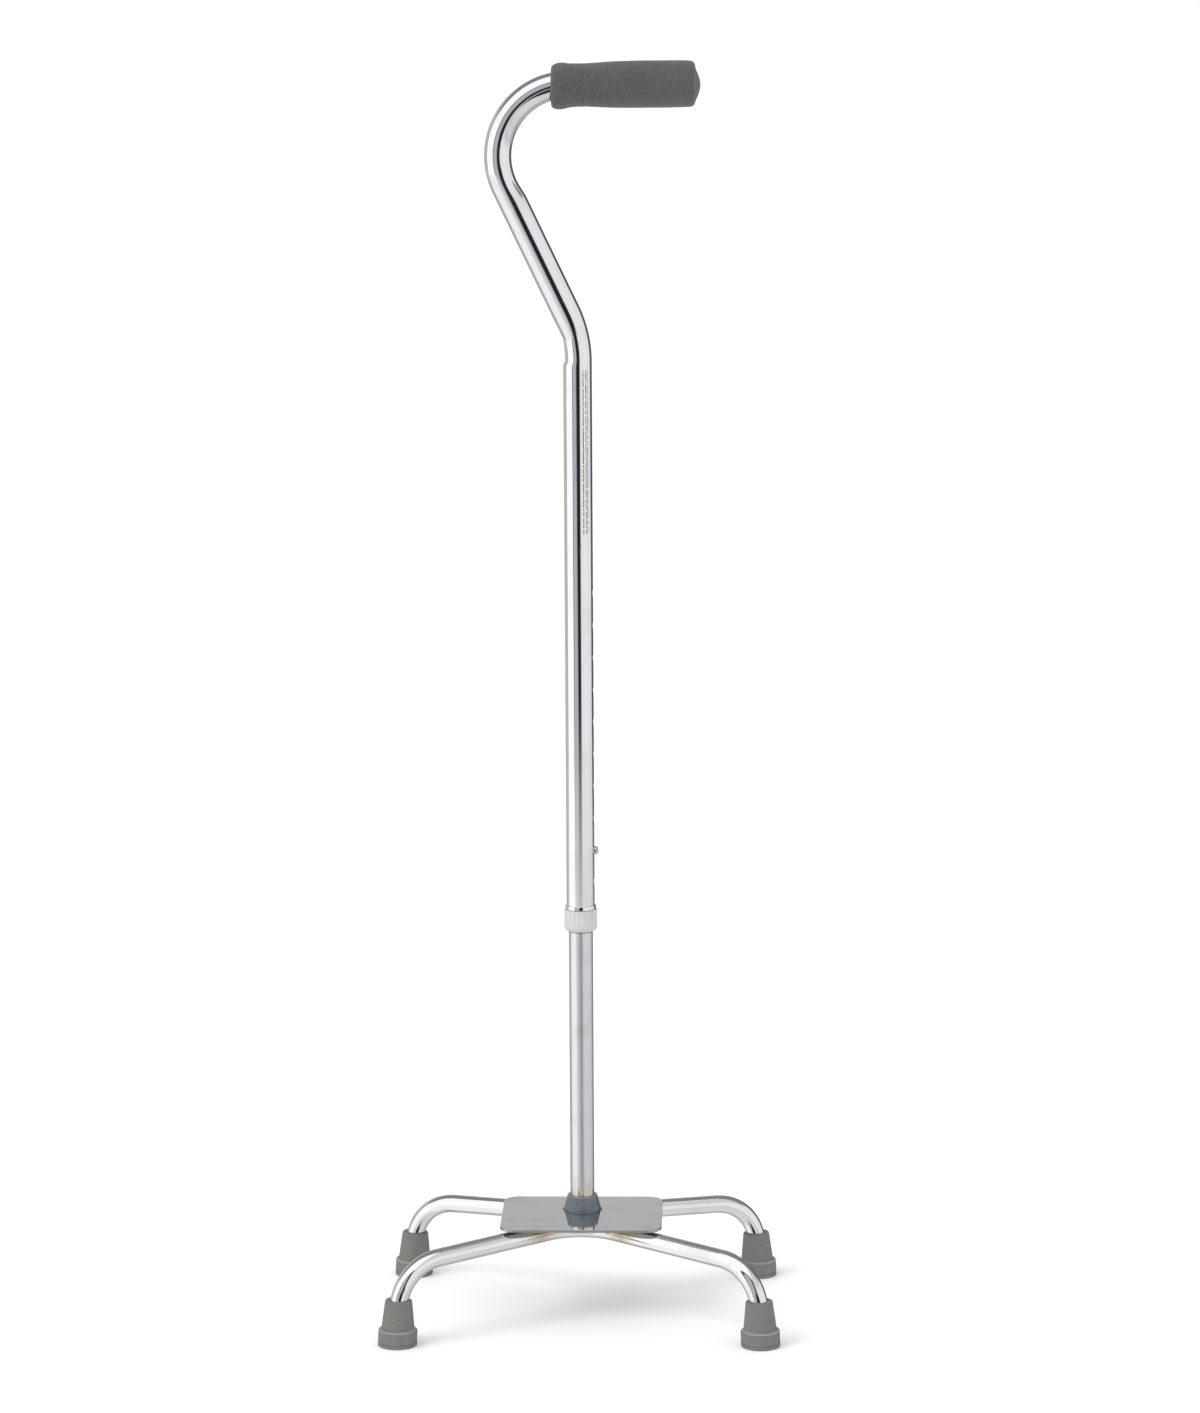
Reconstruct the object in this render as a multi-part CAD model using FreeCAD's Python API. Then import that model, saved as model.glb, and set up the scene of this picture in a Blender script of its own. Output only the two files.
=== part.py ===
import FreeCAD, Part
import math
import os

from FreeCAD import Vector

# Quad walking cane: a bent upper tube with a foam grip, telescoping over a lower tube that is
# bolted to a small steel plate with four rubber-tipped legs. Millimetres.
# Origin: on the floor, at the centre of the rectangle of the four feet. +Z is up, the handle
# points to +X, and -Y is the front. The shaft stands a little behind the middle, at y = SHAFT_Y.

# ---------------------------------------------------------------- driving dimensions
SHAFT_Y = 16.5            # shaft axis behind the centre of the four feet

FOOT_X = 140.5            # half the spacing of the feet across
FOOT_Y = 93.75            # half the spacing of the feet front to back
SPLAY = 2.5               # lean of each leg end, degrees

PLATE_W = 127.0
PLATE_D = 95.5
PLATE_T = 2.4
PLATE_TOP = 76.7
PLATE_CORNER = 12.0
PLATE_Y = 5.3             # centre of the plate

LEG_OD = 14.3
LEG_WALL = 1.2
LEG_DROP = 0.045          # fall of a leg's run for each mm across
LEG_END_BEND = 37.0       # radius of the bend down into the foot
LEG_MID_BEND = 46.0       # radius of the bend under the plate
FRONT_CORNER_Y = 5.0      # where the straight runs of the front legs would meet
REAR_CORNER_Y = 35.5

LOWER_OD = 19.05
LOWER_WALL = 1.25
LOWER_TOP = 413.0

UPPER_OD = 22.2
UPPER_WALL = 1.25
UPPER_END = 322.3         # lower end of the upper tube, at the rest height
LOWER_BEND_Z = 771.8      # where the upright and the slanted runs would meet
LOWER_BEND_R = 89.0
SLANT = 25.5              # lean of the slanted run from upright, degrees
HANDLE_Z = 962.0          # axis of the handle
TOP_BEND_R = 53.4
HANDLE_END_X = 86.0

HOLE_COUNT = 10
HOLE_PITCH = 25.4
HOLE_D = 6.8
BUTTON_Z = 367.9          # height of the snap button, in the second hole from the bottom
BUTTON_HOLE_INDEX = 1

GRIP_START_X = -18.9
GRIP_END_X = 95.2

FERRULE_TOP = 324.5
FERRULE_OD = 24.2
SPIGOT_OD = 21.6          # threaded end of the ferrule, drawn at its mean diameter
SPIGOT_BOTTOM = 310.7
FERRULE_FLANGE = 3.2
NUT_OD = 26.1
NUT_BOTTOM = 304.2
NUT_TOP = 321.0
NUT_FLUTES = 20
THREAD_GAP = 0.1

TIP_BAND_R = 15.15
TIP_HEIGHT = 35.5
TIP_SEAT = 8.0            # height of the washer's top inside a tip, along the tip's axis
TIP_WASHER_R = 8.4
TIP_WASHER_T = 1.2

BOOT_TOP = 89.2
BOLT_R = 4.0
UP = Vector(0, 0, 1)
RIGHT = Vector(1, 0, 0)
SHAFT = Vector(0, SHAFT_Y, 0)

# ---------------------------------------------------------------- worked-out values
LEG_R = LEG_OD / 2
LOWER_R = LOWER_OD / 2
LOWER_BORE = LOWER_R - LOWER_WALL
UPPER_R = UPPER_OD / 2
UPPER_BORE = UPPER_R - UPPER_WALL
PLATE_BOTTOM = PLATE_TOP - PLATE_T
LOWEST_HOLE_Z = BUTTON_Z - BUTTON_HOLE_INDEX * HOLE_PITCH


# ---------------------------------------------------------------- helpers
def unit(vector):
    """The same direction at length one."""
    return vector * (1.0 / vector.Length)


def corner_arc(before, corner, after, radius):
    """Start, middle and end of the arc that rounds one corner."""
    a = unit(before - corner)
    b = unit(after - corner)
    half = a.getAngle(b) / 2
    start = corner + a * (radius / math.tan(half))
    end = corner + b * (radius / math.tan(half))
    centre = corner + unit(a + b) * (radius / math.sin(half))
    middle = centre + unit(corner - centre) * radius
    return start, middle, end


def rounded_wire(points, radii, closed=False):
    """Straight runs joined by tangent arcs. radii has one value for each point, 0 for a sharp one."""
    count = len(points)
    spans = []
    for i, point in enumerate(points):
        is_end = not closed and i in (0, count - 1)
        if is_end or radii[i] == 0:
            spans.append((point, None, point))
        else:
            spans.append(corner_arc(points[i - 1], point, points[(i + 1) % count], radii[i]))
    edges = []
    for i, (start, middle, end) in enumerate(spans):
        if middle is not None:
            edges.append(Part.Arc(start, middle, end).toShape())
        if i < count - 1 or closed:
            following = spans[(i + 1) % count][0]
            if (following - end).Length > 1e-6:
                edges.append(Part.LineSegment(end, following).toShape())
    return Part.Wire(Part.__sortEdges__(edges))


def rod(wire, radius):
    """A round bar that follows a wire."""
    first = wire.OrderedEdges[0]
    start = wire.OrderedVertexes[0].Point
    direction = first.tangentAt(first.FirstParameter)
    circle = Part.Wire([Part.makeCircle(radius, start, direction)])
    return wire.makePipeShell([circle], True, False)


def turned(profile, radii, centre, axis):
    """A solid of revolution. The profile is (distance from the axis, distance along it)."""
    side = RIGHT if abs(axis.dot(RIGHT)) < 0.9 else UP
    out = unit(side - axis * side.dot(axis))
    points = [centre + out * r + axis * h for r, h in profile]
    face = Part.Face(rounded_wire(points, radii, closed=True))
    return face.revolve(centre, axis, 360)


def cylinder(radius, z0, z1, x=0.0, y=SHAFT_Y):
    """An upright cylinder between two heights."""
    return Part.makeCylinder(radius, z1 - z0, Vector(x, y, z0), UP)


def pipe(outer, inner, z0, z1):
    """An upright pipe on the shaft axis."""
    return cylinder(outer, z0, z1).cut(cylinder(inner, z0 - 1, z1 + 1))


def side_pin(radius, x0, x1, z):
    """A cylinder along +X through the shaft axis, at height z."""
    return Part.makeCylinder(radius, x1 - x0, Vector(x0, SHAFT_Y, z), RIGHT)


# ---------------------------------------------------------------- legs and tips
def foot_axis(side, end):
    """Ground point and upward direction of one leg end. side is -1 left, +1 right; end -1 front."""
    corner_y = FRONT_CORNER_Y if end < 0 else REAR_CORNER_Y
    ground = Vector(side * FOOT_X, end * FOOT_Y, 0)
    outward = unit(ground - Vector(0, corner_y, 0))
    lean = math.tan(math.radians(SPLAY))
    return ground, unit(UP - outward * lean)


def leg_wire(end):
    """Centre line of the tube that makes the two front legs or the two rear legs."""
    corner_y = FRONT_CORNER_Y if end < 0 else REAR_CORNER_Y
    plan_angle = math.atan2(abs(end * FOOT_Y - corner_y), FOOT_X)
    # the bend under the plate rounds the middle off, so the corner stands a little higher
    cut_off = LEG_MID_BEND * (1 / math.cos(plan_angle) - 1)
    top_z = PLATE_BOTTOM - LEG_R + cut_off * LEG_DROP * math.cos(plan_angle) / math.sin(plan_angle)
    middle = Vector(0, corner_y, top_z)
    starts = []
    knees = []
    for side in (-1, 1):
        ground, axis = foot_axis(side, end)
        # the knee is where the leg end's axis meets the falling run
        rise = (top_z - LEG_DROP * FOOT_X) / (axis.z - LEG_DROP * abs(axis.x))
        starts.append(ground + axis * TIP_SEAT)
        knees.append(ground + axis * rise)
    points = [starts[0], knees[0], middle, knees[1], starts[1]]
    return rounded_wire(points, [0, LEG_END_BEND, LEG_MID_BEND, LEG_END_BEND, 0])


def tip_and_washer(side, end, leg_bar):
    """A rubber tip with its steel washer. The mouth of the tip is shaped to the leg."""
    ground, axis = foot_axis(side, end)
    below = -2.0
    profile = [(0, below), (TIP_BAND_R, below), (TIP_BAND_R, 12.2), (12.9, 12.9), (10.4, TIP_HEIGHT),
               (0, TIP_HEIGHT)]
    tip = turned(profile, [0, 0, 1.0, 0.5, 1.4, 0], ground, axis)
    floor_block = Part.makeBox(60, 60, 20, ground + Vector(-30, -30, -20))
    tip = tip.cut(floor_block)
    for inner, outer in ((4.6, 6.0), (8.4, 9.8), (12.2, 13.3)):
        tread = Part.makeCylinder(outer, 2.0, ground - UP, UP)
        tread = tread.cut(Part.makeCylinder(inner, 2.0, ground - UP, UP))
        tip = tip.cut(tread)
    washer = Part.makeCylinder(TIP_WASHER_R, TIP_WASHER_T, ground + axis * (TIP_SEAT - TIP_WASHER_T), axis)
    washer = washer.cut(Part.makeCylinder(2.5, 3.0, ground + axis * (TIP_SEAT - 2.0), axis))
    seat = Part.makeCylinder(TIP_WASHER_R, TIP_WASHER_T, ground + axis * (TIP_SEAT - TIP_WASHER_T), axis)
    return tip.cut(leg_bar).cut(seat), washer


def weld_bead(start, finish, radius, leg_bar, plate):
    """A rounded bead along a line, trimmed to the leg and the plate that it joins."""
    length = (finish - start).Length
    profile = [(0, 0), (radius, 0), (radius, length), (0, length)]
    bead = turned(profile, [0, 0.9 * radius, 0.9 * radius, 0], start, unit(finish - start))
    return bead.cut(plate).cut(leg_bar)


# ---------------------------------------------------------------- base
def base_plate():
    x = PLATE_W / 2
    front = PLATE_Y - PLATE_D / 2
    rear = PLATE_Y + PLATE_D / 2
    corners = [Vector(-x, front, PLATE_BOTTOM), Vector(x, front, PLATE_BOTTOM),
               Vector(x, rear, PLATE_BOTTOM), Vector(-x, rear, PLATE_BOTTOM)]
    outline = rounded_wire(corners, [PLATE_CORNER] * 4, closed=True)
    plate = Part.Face(outline).extrude(UP * PLATE_T)
    return plate.cut(cylinder(BOLT_R + 0.5, PLATE_BOTTOM - 1, PLATE_TOP + 1))


def shaft_boot():
    """Tapered plastic collar that seats the lower tube on the plate."""
    bore = LOWER_R + 0.05
    profile = [(bore, PLATE_TOP), (14.6, PLATE_TOP), (14.3, 79.0), (11.8, BOOT_TOP), (bore, BOOT_TOP)]
    return turned(profile, [0, 0, 2.0, 0.8, 0], SHAFT, UP)


def base_bolt(head_top, head_height, across_flats, tip_z):
    """Hexagon bolt, head down."""
    corner = across_flats / 2 / math.cos(math.radians(30))
    points = []
    for i in range(6):
        angle = math.radians(60 * i)
        points.append(Vector(corner * math.cos(angle), SHAFT_Y + corner * math.sin(angle), 0))
    points.append(points[0])
    head = Part.Face(Part.makePolygon(points)).extrude(UP * head_height)
    head.translate(UP * (head_top - head_height))
    rim = [(0, head_top - head_height), (corner - 1.0, head_top - head_height),
           (corner + 0.2, head_top - head_height + 0.7), (corner + 0.2, head_top), (0, head_top)]
    head = head.common(turned(rim, [0] * 5, SHAFT, UP))
    shank = [(0, head_top), (BOLT_R, head_top), (BOLT_R, tip_z - 1), (BOLT_R - 1, tip_z), (0, tip_z)]
    return head.fuse(turned(shank, [0] * 5, SHAFT, UP)).removeSplitter()


def split_washer(z0, z1):
    """Spring washer with its slanted cut."""
    ring = pipe(7.3, BOLT_R + 0.2, z0, z1)
    gap = Part.makeBox(12, 1.2, 8, Vector(2, SHAFT_Y - 0.6, (z0 + z1) / 2 - 4))
    gap.rotate(Vector(0, SHAFT_Y, (z0 + z1) / 2), RIGHT, 30)
    return ring.cut(gap)


# ---------------------------------------------------------------- shaft
def lower_tube():
    tube = pipe(LOWER_R, LOWER_BORE, PLATE_TOP, LOWER_TOP)
    return tube.cut(side_pin(HOLE_D / 2, 2, LOWER_R + 2, BUTTON_Z))


def upper_wire():
    """Centre line of the upper tube: upright, slanted back, and round into the handle."""
    slant = math.radians(SLANT)
    reach = (HANDLE_Z - LOWER_BEND_Z) * math.tan(slant)
    points = [Vector(0, SHAFT_Y, UPPER_END), Vector(0, SHAFT_Y, LOWER_BEND_Z),
              Vector(-reach, SHAFT_Y, HANDLE_Z), Vector(HANDLE_END_X, SHAFT_Y, HANDLE_Z)]
    return rounded_wire(points, [0, LOWER_BEND_R, TOP_BEND_R, 0])


def upper_tube():
    wire = upper_wire()
    tube = rod(wire, UPPER_R).cut(rod(wire, UPPER_BORE))
    for i in range(HOLE_COUNT):
        tube = tube.cut(side_pin(HOLE_D / 2, 5, UPPER_R + 2, LOWEST_HOLE_Z + i * HOLE_PITCH))
    return tube


def foam_grip(plug):
    """Foam sleeve with a bell at its inner end, a waist and a closed, domed outer end."""
    profile = [(0, GRIP_START_X), (16.7, GRIP_START_X), (18.0, -12.5), (16.5, -5.0), (16.5, 8.0),
               (17.7, 30.0), (18.0, 48.0), (17.9, 78.0), (17.6, 91.1), (13.0, 91.9), (7.0, GRIP_END_X - 0.8),
               (0, GRIP_END_X)]
    radii = [0, 2.5, 4.0, 8.0, 40.0, 60.0, 60.0, 60.0, 3.8, 8.0, 10.0, 0]
    sleeve = turned(profile, radii, Vector(0, SHAFT_Y, HANDLE_Z), RIGHT)
    # the bell sits on the end of the tube's bend, so the tube itself shapes the bore
    return sleeve.cut(rod(upper_wire(), UPPER_R)).cut(plug)


def handle_end_plug():
    """Plastic plug that closes the end of the handle tube under the foam."""
    end = HANDLE_END_X
    profile = [(0, end - 14), (UPPER_BORE - 0.9, end - 14), (UPPER_BORE, end - 11), (UPPER_BORE, end),
               (UPPER_R, end), (UPPER_R, end + 2), (0, end + 2)]
    return turned(profile, [0, 0.5, 0, 0, 0, 0.8, 0], Vector(0, SHAFT_Y, HANDLE_Z), RIGHT)


# ---------------------------------------------------------------- height lock
def snap_button():
    """Domed pin with a flange that keeps it inside the lower tube."""
    profile = [(0, 5.6), (4.0, 5.6), (4.0, 6.8), (3.15, 6.8), (3.15, 14.1), (0, 14.1)]
    return turned(profile, [0, 0, 0.3, 0, 2.2, 0], Vector(0, SHAFT_Y, BUTTON_Z), RIGHT)


def button_spring():
    """V spring of flat strip. One leg carries the button, the other presses on the far wall."""
    half_t = 0.3
    width = 8.0
    near = Vector(5.6 - half_t, SHAFT_Y, BUTTON_Z)
    far = Vector(-6.7, SHAFT_Y, BUTTON_Z)
    points = [far + UP * 9, far - UP * 8, Vector(0, SHAFT_Y, BUTTON_Z - 46), near - UP * 8, near + UP * 9]
    wire = rounded_wire(points, [0, 12, 2.5, 12, 0])
    start = points[0]
    strip = [start + Vector(-half_t, -width / 2, 0), start + Vector(half_t, -width / 2, 0),
             start + Vector(half_t, width / 2, 0), start + Vector(-half_t, width / 2, 0)]
    strip.append(strip[0])
    return wire.makePipeShell([Part.makePolygon(strip)], True, False)


def lock_ferrule():
    """Chrome ring pressed on the upper tube, with the threaded spigot that the nut runs on."""
    flange_bottom = FERRULE_TOP - FERRULE_FLANGE
    profile = [(UPPER_BORE, SPIGOT_BOTTOM), (SPIGOT_OD / 2, SPIGOT_BOTTOM), (SPIGOT_OD / 2, flange_bottom),
               (FERRULE_OD / 2, flange_bottom), (FERRULE_OD / 2, FERRULE_TOP), (UPPER_R, FERRULE_TOP),
               (UPPER_R, UPPER_END), (UPPER_BORE, UPPER_END)]
    return turned(profile, [0, 0, 0, 0.5, 1.0, 0, 0, 0], SHAFT, UP)


def lock_nut():
    """Ribbed nylon nut that squeezes the compression ring on the lower tube."""
    seat_top = SPIGOT_BOTTOM - 0.3
    bore = SPIGOT_OD / 2 + THREAD_GAP
    profile = [(LOWER_R + 0.3, NUT_BOTTOM), (10.9, NUT_BOTTOM), (NUT_OD / 2, NUT_BOTTOM + 3.2),
               (NUT_OD / 2, NUT_TOP), (bore, NUT_TOP), (bore, seat_top - 2.4),
               (LOWER_R + 0.3, NUT_BOTTOM + 1.0)]
    nut = turned(profile, [0, 0.6, 0.8, 1.0, 0, 0, 0], SHAFT, UP)
    for i in range(NUT_FLUTES):
        angle = 2 * math.pi * i / NUT_FLUTES
        x = (NUT_OD / 2 + 1.1) * math.cos(angle)
        y = SHAFT_Y + (NUT_OD / 2 + 1.1) * math.sin(angle)
        nut = nut.cut(cylinder(1.5, NUT_BOTTOM + 4.4, NUT_TOP - 1.4, x, y))
    return nut


def compression_ring():
    """Split nylon ring, between the nut's cone and the lower tube."""
    bottom = NUT_BOTTOM + 2.4
    top = SPIGOT_BOTTOM - 0.4
    profile = [(LOWER_R + 0.05, bottom), (LOWER_R + 0.45, bottom), (SPIGOT_OD / 2 - 0.2, top - 1.6),
               (SPIGOT_OD / 2 - 0.2, top), (LOWER_R + 0.05, top)]
    ring = turned(profile, [0] * 5, SHAFT, UP)
    return ring.cut(Part.makeBox(6, 1.6, 12, Vector(-13, SHAFT_Y - 0.8, bottom - 2)))


# ---------------------------------------------------------------- assembly
def build():
    parts = {"base_plate": base_plate()}
    beads = []
    for end, end_name in ((-1, "front"), (1, "rear")):
        wire = leg_wire(end)
        leg_bar = rod(wire, LEG_R)
        parts[end_name + "_leg_tube"] = leg_bar.cut(rod(wire, LEG_R - LEG_WALL))
        for side, side_name in ((-1, "left"), (1, "right")):
            tip, washer = tip_and_washer(side, end, leg_bar)
            parts["tip_" + end_name + "_" + side_name] = tip
            parts["tip_washer_" + end_name + "_" + side_name] = washer
            ground, axis = foot_axis(side, end)
            corner_y = FRONT_CORNER_Y if end < 0 else REAR_CORNER_Y
            middle = Vector(0, corner_y, PLATE_BOTTOM - 1.2)
            run = unit(Vector(ground.x, ground.y, 0) - Vector(0, corner_y, 0))
            across = Vector(-run.y, run.x, 0)
            first = 34 if end < 0 else 12
            for offset in (-5.2, 5.2):
                start = middle + run * first + across * offset
                beads.append(weld_bead(start, start + run * 15, 2.2, leg_bar, parts["base_plate"]))
    parts["weld_beads"] = Part.makeCompound(beads)

    washer_bottom = PLATE_BOTTOM - 1.6
    lock_bottom = washer_bottom - 2.0
    parts["shaft_boot"] = shaft_boot()
    parts["base_washer"] = pipe(8.0, BOLT_R + 0.3, washer_bottom, PLATE_BOTTOM)
    parts["lock_washer"] = split_washer(lock_bottom, washer_bottom)
    parts["base_bolt"] = base_bolt(lock_bottom, 5.3, 13.0, 97.0)
    parts["tube_insert"] = pipe(LOWER_BORE, BOLT_R + 0.02, PLATE_TOP, PLATE_TOP + 24)
    parts["lower_tube"] = lower_tube()

    parts["upper_tube"] = upper_tube()
    parts["handle_end_plug"] = handle_end_plug()
    parts["foam_grip"] = foam_grip(parts["handle_end_plug"])
    parts["lock_ferrule"] = lock_ferrule()
    parts["lock_nut"] = lock_nut()
    parts["compression_ring"] = compression_ring()
    parts["snap_button"] = snap_button()
    parts["button_spring"] = button_spring()
    return parts


def main():
    os.makedirs("parts", exist_ok=True)
    for name, shape in build().items():
        if not shape.isValid():
            raise ValueError(name + " is not a valid solid")
        shape.exportStep("parts/" + name + ".step")
        box = shape.optimalBoundingBox()
        print(name, len(shape.Solids), "solid(s)", round(shape.Volume, 1), "mm3",
              [round(v, 2) for v in (box.XMin, box.XMax, box.YMin, box.YMax, box.ZMin, box.ZMax)])


main()
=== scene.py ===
import math

import bmesh
import bpy
import numpy as np
from mathutils import Matrix, Vector, noise


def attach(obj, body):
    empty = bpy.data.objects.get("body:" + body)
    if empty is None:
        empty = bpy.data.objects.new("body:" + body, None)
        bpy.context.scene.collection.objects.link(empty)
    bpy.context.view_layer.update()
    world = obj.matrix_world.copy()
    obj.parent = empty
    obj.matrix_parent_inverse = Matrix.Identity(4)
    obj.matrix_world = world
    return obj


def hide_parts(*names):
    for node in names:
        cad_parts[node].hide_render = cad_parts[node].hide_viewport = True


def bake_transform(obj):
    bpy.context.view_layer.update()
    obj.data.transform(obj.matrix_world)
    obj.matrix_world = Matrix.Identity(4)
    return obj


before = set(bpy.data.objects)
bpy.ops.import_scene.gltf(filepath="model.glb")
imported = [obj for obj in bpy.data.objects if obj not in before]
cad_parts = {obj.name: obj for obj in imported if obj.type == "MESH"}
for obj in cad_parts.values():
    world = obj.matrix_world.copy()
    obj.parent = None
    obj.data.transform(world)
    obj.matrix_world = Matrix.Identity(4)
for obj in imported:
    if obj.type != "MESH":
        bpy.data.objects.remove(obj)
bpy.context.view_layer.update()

# Sizes in metres.
MM = 0.001
SHAFT_Y = 16.5 * MM
UPPER_R = 11.1 * MM
UPPER_BORE = 9.85 * MM
UPPER_END = 322.3 * MM
HANDLE_Z = 962.0 * MM
HANDLE_END_X = 86.0 * MM
LOWER_BEND_Z = 771.8 * MM
LOWER_BEND_R = 89.0 * MM
TOP_BEND_R = 53.4 * MM
SLANT = math.radians(25.5)
HOLE_R = 3.4 * MM
HOLE_ROW = [(342.5 + 25.4 * i) * MM for i in range(10)]
ROW_TOP = 585.0 * MM              # above the last hole, where the plain tube goes on
PLATE_TOP = 76.7 * MM
PLATE_BOTTOM = PLATE_TOP - 2.4 * MM
SHAFT_FOOT = (0, SHAFT_Y, PLATE_TOP)
SEAM_R = 15.0 * MM                # where the boot meets the plate
BOOT_LIP = 89.2 * MM
NUT_NOSE = 304.2 * MM             # underside of the nut; just below it the lower tube carries a painted shadow line
NUT_RIBS = 20
TIP_GROOVE = 3.0 * MM             # mould line above a tip's sole
TIP_STEP = 12.6 * MM              # rim that a tip's foot ends in
FRONT_WELD = Vector((33.9, -18.9, 74.0)) * MM
REAR_WELD = Vector((18.0, 43.0, 74.0)) * MM


def add_object(name, data):
    """A new object at the origin, in the scene."""
    item = bpy.data.objects.new(name, data)
    bpy.context.scene.collection.objects.link(item)
    return item


# ---- camera
CAMERA_AZIMUTH = math.radians(1.5)
CAMERA_PITCH = math.radians(9.3)
CAMERA_ROLL = math.radians(0.3)
CAMERA_HEIGHT = 1.012
CAMERA_DISTANCE = 3.236
CAMERA_ASIDE = 0.016
LENS = 107.0


def make_camera():
    """A long lens a little above the handle, looking down and slightly from the right."""
    forward = Vector((-math.sin(CAMERA_AZIMUTH), math.cos(CAMERA_AZIMUTH), 0))
    right = Vector((math.cos(CAMERA_AZIMUTH), math.sin(CAMERA_AZIMUTH), 0))
    place = Vector((0, SHAFT_Y, CAMERA_HEIGHT)) + right * CAMERA_ASIDE - forward * CAMERA_DISTANCE
    view = forward * math.cos(CAMERA_PITCH) - Vector((0, 0, math.sin(CAMERA_PITCH)))
    level_up = right.cross(view)
    up = level_up * math.cos(CAMERA_ROLL) + right * math.sin(CAMERA_ROLL)
    across = view.cross(up)
    data = bpy.data.cameras.new("camera")
    data.lens = LENS
    camera = add_object("camera", data)
    turn = Matrix((across, up, -view)).transposed().to_4x4()
    camera.matrix_world = Matrix.Translation(place) @ turn
    bpy.context.scene.camera = camera


# ---- node helpers
def add(tree, kind, inputs=None, **settings):
    """One node. An input is a plain value, or another node's output socket to link."""
    node = tree.nodes.new(kind)
    for name, value in settings.items():
        setattr(node, name, value)
    for name, value in (inputs or {}).items():
        if isinstance(value, bpy.types.NodeSocket):
            tree.links.new(value, node.inputs[name])
        else:
            node.inputs[name].default_value = value
    return node


def math_node(tree, operation, *values):
    return add(tree, "ShaderNodeMath", dict(enumerate(values)), operation=operation).outputs[0]


def times(tree, first, second):
    return math_node(tree, "MULTIPLY", first, second)


def plus(tree, first, second):
    return math_node(tree, "ADD", first, second)


def minus(tree, first, second):
    return math_node(tree, "SUBTRACT", first, second)


def gap(tree, first, second):
    """How far apart two values are."""
    return math_node(tree, "ABSOLUTE", minus(tree, first, second))


def axes(tree, vector):
    return add(tree, "ShaderNodeSeparateXYZ", {0: vector}).outputs


def distance(tree, place, spot):
    return add(tree, "ShaderNodeVectorMath", {0: place, 1: spot}, operation="DISTANCE").outputs["Value"]


def map_range(tree, value, low, high, to_low=0.0, to_high=1.0, kind="SMOOTHSTEP"):
    inputs = {"Value": value, "From Min": low, "From Max": high, "To Min": to_low, "To Max": to_high}
    return add(tree, "ShaderNodeMapRange", inputs, interpolation_type=kind).outputs["Result"]


def mix_value(tree, factor, first, second):
    """first where the factor is 0, second where it is 1."""
    return add(tree, "ShaderNodeMix", {0: factor, 2: first, 3: second}, data_type="FLOAT").outputs[0]


def mix_color(tree, factor, first, second):
    """The same for two colours."""
    first, second = ((*value, 1.0) if isinstance(value, tuple) else value for value in (first, second))
    return add(tree, "ShaderNodeMix", {0: factor, 6: first, 7: second}, data_type="RGBA").outputs[2]


def ramp(tree, factor, stops):
    """Colour ramp from a list of (position, colour)."""
    node = add(tree, "ShaderNodeValToRGB", {"Fac": factor})
    elements = node.color_ramp.elements
    while len(elements) < len(stops):
        elements.new(0.5)
    for element, (position, _) in zip(elements, stops):
        element.position = position
    for element, (_, color) in zip(elements, stops):
        element.color = (*color, 1.0)
    return node.outputs["Color"]


def bump(tree, height, depth, strength=1.0, normal=None):
    node = add(tree, "ShaderNodeBump", {"Height": height, "Distance": depth, "Strength": strength})
    if normal is not None:
        tree.links.new(normal, node.inputs["Normal"])
    return node.outputs["Normal"]


def grey(value):
    return (value, value, value)


def noise_value(tree, place, scale, detail=3.0, stretch=(1, 1, 1)):
    """A noise pattern in metres: scale is its waves in a metre, stretch its squeeze on each axis."""
    place = add(tree, "ShaderNodeVectorMath", {0: place, 1: stretch}, operation="MULTIPLY").outputs[0]
    return add(tree, "ShaderNodeTexNoise", {"Vector": place, "Scale": scale, "Detail": detail}).outputs["Fac"]


# ---- studio
# What polished metal sees of the studio, by the angle from the camera's direction: degrees, colour.
UPPER_LEFT_WALLS = [
    (0, grey(0.02)), (9, grey(0.02)), (13.5, (0.42, 0.45, 0.50)), (37, (0.50, 0.53, 0.58)), (39.5, grey(0.06)),
    (42, grey(0.06)), (45, grey(1.13)), (101, grey(1.13)), (103.5, grey(0.22)), (105.5, grey(0.22)),
    (109, grey(0.55)), (130, grey(0.52)), (180, grey(0.50)),
]
LOWER_RIGHT_WALLS = [
    (0, grey(0.02)), (18, grey(0.02)), (22, (0.86, 0.83, 0.82)), (60, (0.92, 0.91, 0.92)),
    (100, (0.82, 0.84, 0.88)), (116, (0.82, 0.84, 0.90)), (123, grey(0.08)), (155, grey(0.10)),
    (180, grey(0.50)),
]
RIGHT_ROOF = grey(0.62)
BACK_ROOF = (0.24, 0.24, 0.23)
# The ground a few metres off, as the lower shaft sees it, by bearing from the camera's side.
FAR_GROUND = [
    (-180, grey(0.30)), (-125, grey(0.48)), (-112, grey(0.62)), (-97, grey(1.06)), (-50, grey(1.06)),
    (-28, (0.68, 0.70, 0.74)), (-8, grey(0.62)), (6, grey(0.60)), (20, (0.71, 0.71, 0.72)),
    (95, (0.70, 0.71, 0.74)), (118, grey(0.56)), (135, grey(0.25)), (180, grey(0.25)),
]
NEAR_GROUND = grey(0.74)
LEFT_GROUND = grey(1.0)
GROUND_BEHIND = grey(0.48)
DARK_FLOOR = (0.03, 0.03, 0.022)
SOFT_FILL = grey(0.98)
BACKDROP = grey(1.05)
# Angles in degrees between which one part of the studio gives way to the next.
ROOF_EDGE = (22, 34)
FAR_EDGE = (-9, -13)
NEAR_EDGE = (-18, -25)
STEEP_EDGE = (-66, -54)
LEFT_BEARING = -74
LEFT_SPREAD = (40, 30)
# The dark gap right of the camera: its half width, and where it starts, leans and ends.
DOOR_SPREAD = (8.5, 6.5)
DOOR_START = (1, 3)
DOOR_LEAN = (3, 13)
DOOR_BEARING = (18, 9.5)
DOOR_END = (48, 36)
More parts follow.
